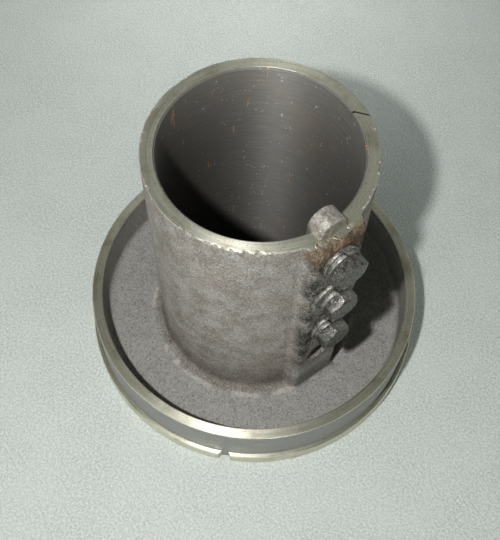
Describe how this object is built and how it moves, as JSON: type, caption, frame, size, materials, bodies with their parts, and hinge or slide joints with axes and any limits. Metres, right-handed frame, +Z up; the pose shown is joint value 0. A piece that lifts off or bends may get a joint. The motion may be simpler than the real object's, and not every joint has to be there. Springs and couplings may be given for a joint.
{
  "type": "keyed coupling sleeve",
  "caption": "Flanged coupling sleeve with a dished spigot rim, a full-length drive key in its bore and hexagon bolts that draw the key into its seat.",
  "frame": {"origin": "centre of the flange's underside, on the axis of the bore", "axes": "+Z up the bore, out of the tube's open end; +X out through the key, the boss and the bolts"},
  "size_m": [0.2032, 0.2032, 0.1793],
  "materials": {
    "casting": "rough cast skin with light rust, machined bore, top face, spigot and flange edge",
    "key_steel": "ground key steel, dull, with a few scratches",
    "bolt_steel": "dark oiled steel, worn bright on some corners",
    "washer_steel": "oiled steel, bright at the rim"
  },
  "bodies": {
    "sleeve": {"flanged_sleeve": "casting", "flat_washer_1": "washer_steel", "spring_washer_1": "washer_steel", "flat_washer_2": "washer_steel", "spring_washer_2": "washer_steel", "flat_washer_3": "washer_steel", "spring_washer_3": "washer_steel"},
    "key": {"drive_key": "key_steel"},
    "bolt_1": {"hex_bolt_1": "bolt_steel"},
    "bolt_2": {"hex_bolt_2": "bolt_steel"},
    "bolt_3": {"hex_bolt_3": "bolt_steel"}
  },
  "joints": [
    {"name": "key_slide", "type": "slide", "parent": "sleeve", "child": "key", "axis": [-1, 0, 0], "range_m": [0, 0.006]},
    {"name": "bolt_2_turn", "type": "hinge", "parent": "sleeve", "child": "bolt_2", "pos_m": [0, 0, 0.1215], "axis": [1, 0, 0], "range_deg": [0, 1440]},
    {"name": "bolt_1_turn", "type": "hinge", "parent": "sleeve", "child": "bolt_1", "pos_m": [0, 0, 0.1565], "axis": [1, 0, 0], "range_deg": [0, 1440]},
    {"name": "bolt_3_turn", "type": "hinge", "parent": "sleeve", "child": "bolt_3", "pos_m": [0, 0, 0.0865], "axis": [1, 0, 0], "range_deg": [0, 1440]}
  ],
  "couplings": [
    {"joint": "bolt_1_turn", "follows": "key_slide", "rad_per_m": 4188.8},
    {"joint": "bolt_2_turn", "follows": "key_slide", "rad_per_m": 4188.8},
    {"joint": "bolt_3_turn", "follows": "key_slide", "rad_per_m": 4188.8}
  ]
}
